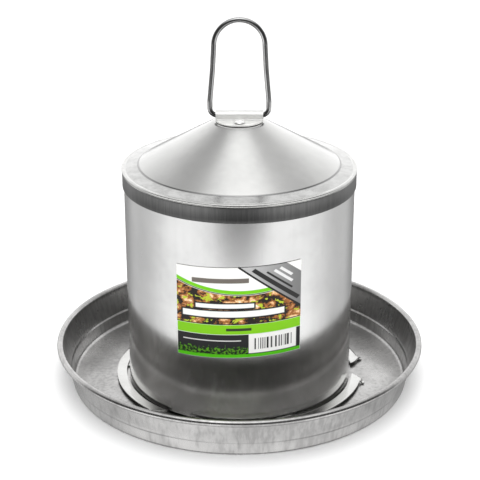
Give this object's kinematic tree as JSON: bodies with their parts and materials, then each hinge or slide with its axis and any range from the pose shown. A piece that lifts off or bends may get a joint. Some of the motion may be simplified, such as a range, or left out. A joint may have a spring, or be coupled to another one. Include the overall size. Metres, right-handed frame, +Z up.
{
  "type": "poultry waterer fount",
  "caption": "Steel poultry drinker: a cone-topped tank twist-locks into a shallow round drinking pan and hangs or is carried by a folding wire bail.",
  "frame": {"origin": "centre of the pan's underside", "axes": "+Z up along the pan's and the fount's common axis; -Y towards the label, which is the front; +X to the right seen from the front"},
  "size_m": [0.222, 0.222, 0.2215],
  "materials": {
    "pan_steel": "cold-rolled stainless sheet, lightly scuffed",
    "rail_steel": "bright stainless sheet",
    "tank_steel": "rolled stainless sheet, fine vertical grain",
    "lug_steel": "bent stainless strip",
    "cap_steel": "spun stainless sheet",
    "seal_compound": "grey sealing compound",
    "saddle_steel": "bright pressed stainless sheet",
    "rivet_steel": "set rivet heads",
    "washer_rubber": "black rubber",
    "wire_steel": "bright drawn stainless wire",
    "label_print": "printed film label"
  },
  "bodies": {
    "pan": {"pan_tray": "pan_steel", "lock_rail_1": "rail_steel", "lock_rail_2": "rail_steel", "lock_rail_3": "rail_steel"},
    "fount": {"tank_wall": "tank_steel", "lock_lug_1": "lug_steel", "lock_lug_2": "lug_steel", "lock_lug_3": "lug_steel", "cap_cone": "cap_steel", "cap_seal": "seal_compound", "hanger_saddle": "saddle_steel", "saddle_rivet_front": "rivet_steel", "saddle_rivet_back": "rivet_steel", "rivet_washer_front": "washer_rubber", "rivet_washer_back": "washer_rubber", "label": "label_print"},
    "bail": {"bail_wire": "wire_steel"}
  },
  "joints": [
    {"name": "twist_lock", "type": "hinge", "parent": "pan", "child": "fount", "pos_m": [0, 0, 0], "axis": [0, 0, 1], "range_deg": [-54, 0]},
    {"name": "bail_fold", "type": "hinge", "parent": "fount", "child": "bail", "pos_m": [0, 0, 0.1645], "axis": [1, 0, 0], "range_deg": [-105, 105]}
  ]
}
